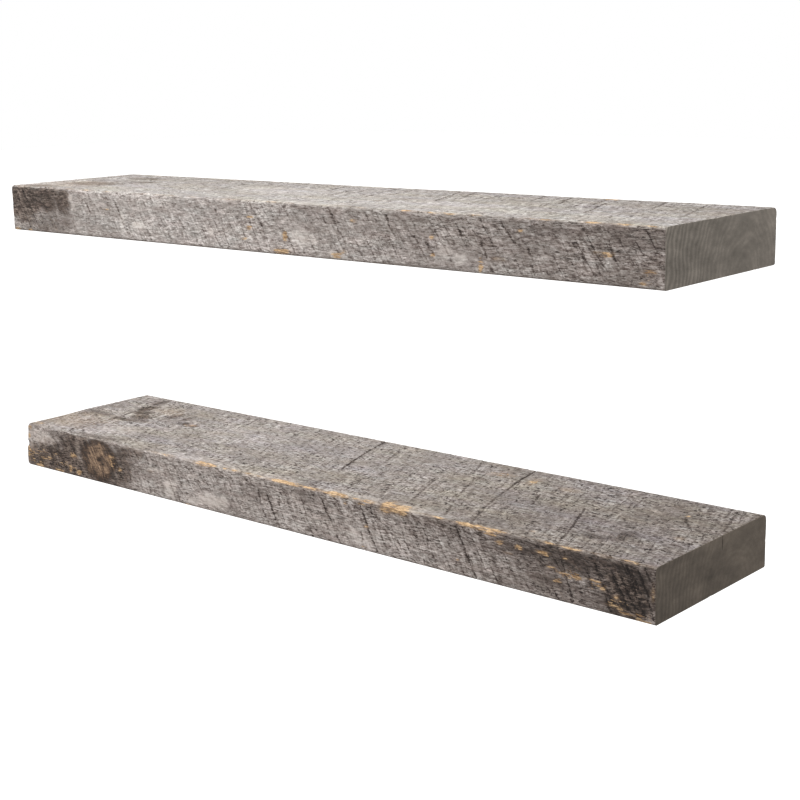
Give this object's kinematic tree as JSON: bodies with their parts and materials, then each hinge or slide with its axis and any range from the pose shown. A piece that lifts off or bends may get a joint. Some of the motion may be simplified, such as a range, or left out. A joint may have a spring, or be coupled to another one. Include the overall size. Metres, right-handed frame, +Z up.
{
  "type": "floating wall shelf",
  "caption": "Thick rough-sawn reclaimed-wood floating wall shelves, carried by hidden steel rods that enter blind bores in the back edge and are screwed to the wall.",
  "frame": {"origin": "in the wall's face (y = 0), at the centre of the drilling pattern of the two shelves", "axes": "+X along the shelves to the right seen from the room, +Y into the wall, +Z up"},
  "size_m": [0.61, 0.18, 0.233],
  "materials": {
    "weathered_wood": "rough-sawn, weathered grey, unsealed",
    "zinc_steel": "zinc plated"
  },
  "bodies": {
    "wall_brackets": {"upper_bracket_plate": "zinc_steel", "lower_bracket_plate": "zinc_steel", "upper_left_bracket_rod": "zinc_steel", "upper_right_bracket_rod": "zinc_steel", "lower_left_bracket_rod": "zinc_steel", "lower_right_bracket_rod": "zinc_steel", "upper_left_screw": "zinc_steel", "upper_middle_screw": "zinc_steel", "upper_right_screw": "zinc_steel", "lower_left_screw": "zinc_steel", "lower_middle_screw": "zinc_steel", "lower_right_screw": "zinc_steel"},
    "upper_shelf": {"upper_shelf_beam": "weathered_wood"},
    "lower_shelf": {"lower_shelf_beam": "weathered_wood"}
  },
  "joints": [
    {"name": "upper_shelf_slide", "type": "slide", "parent": "wall_brackets", "child": "upper_shelf", "axis": [0, -1, 0], "range_m": [0, 0.12]},
    {"name": "lower_shelf_slide", "type": "slide", "parent": "wall_brackets", "child": "lower_shelf", "axis": [0, -1, 0], "range_m": [0, 0.12]}
  ]
}
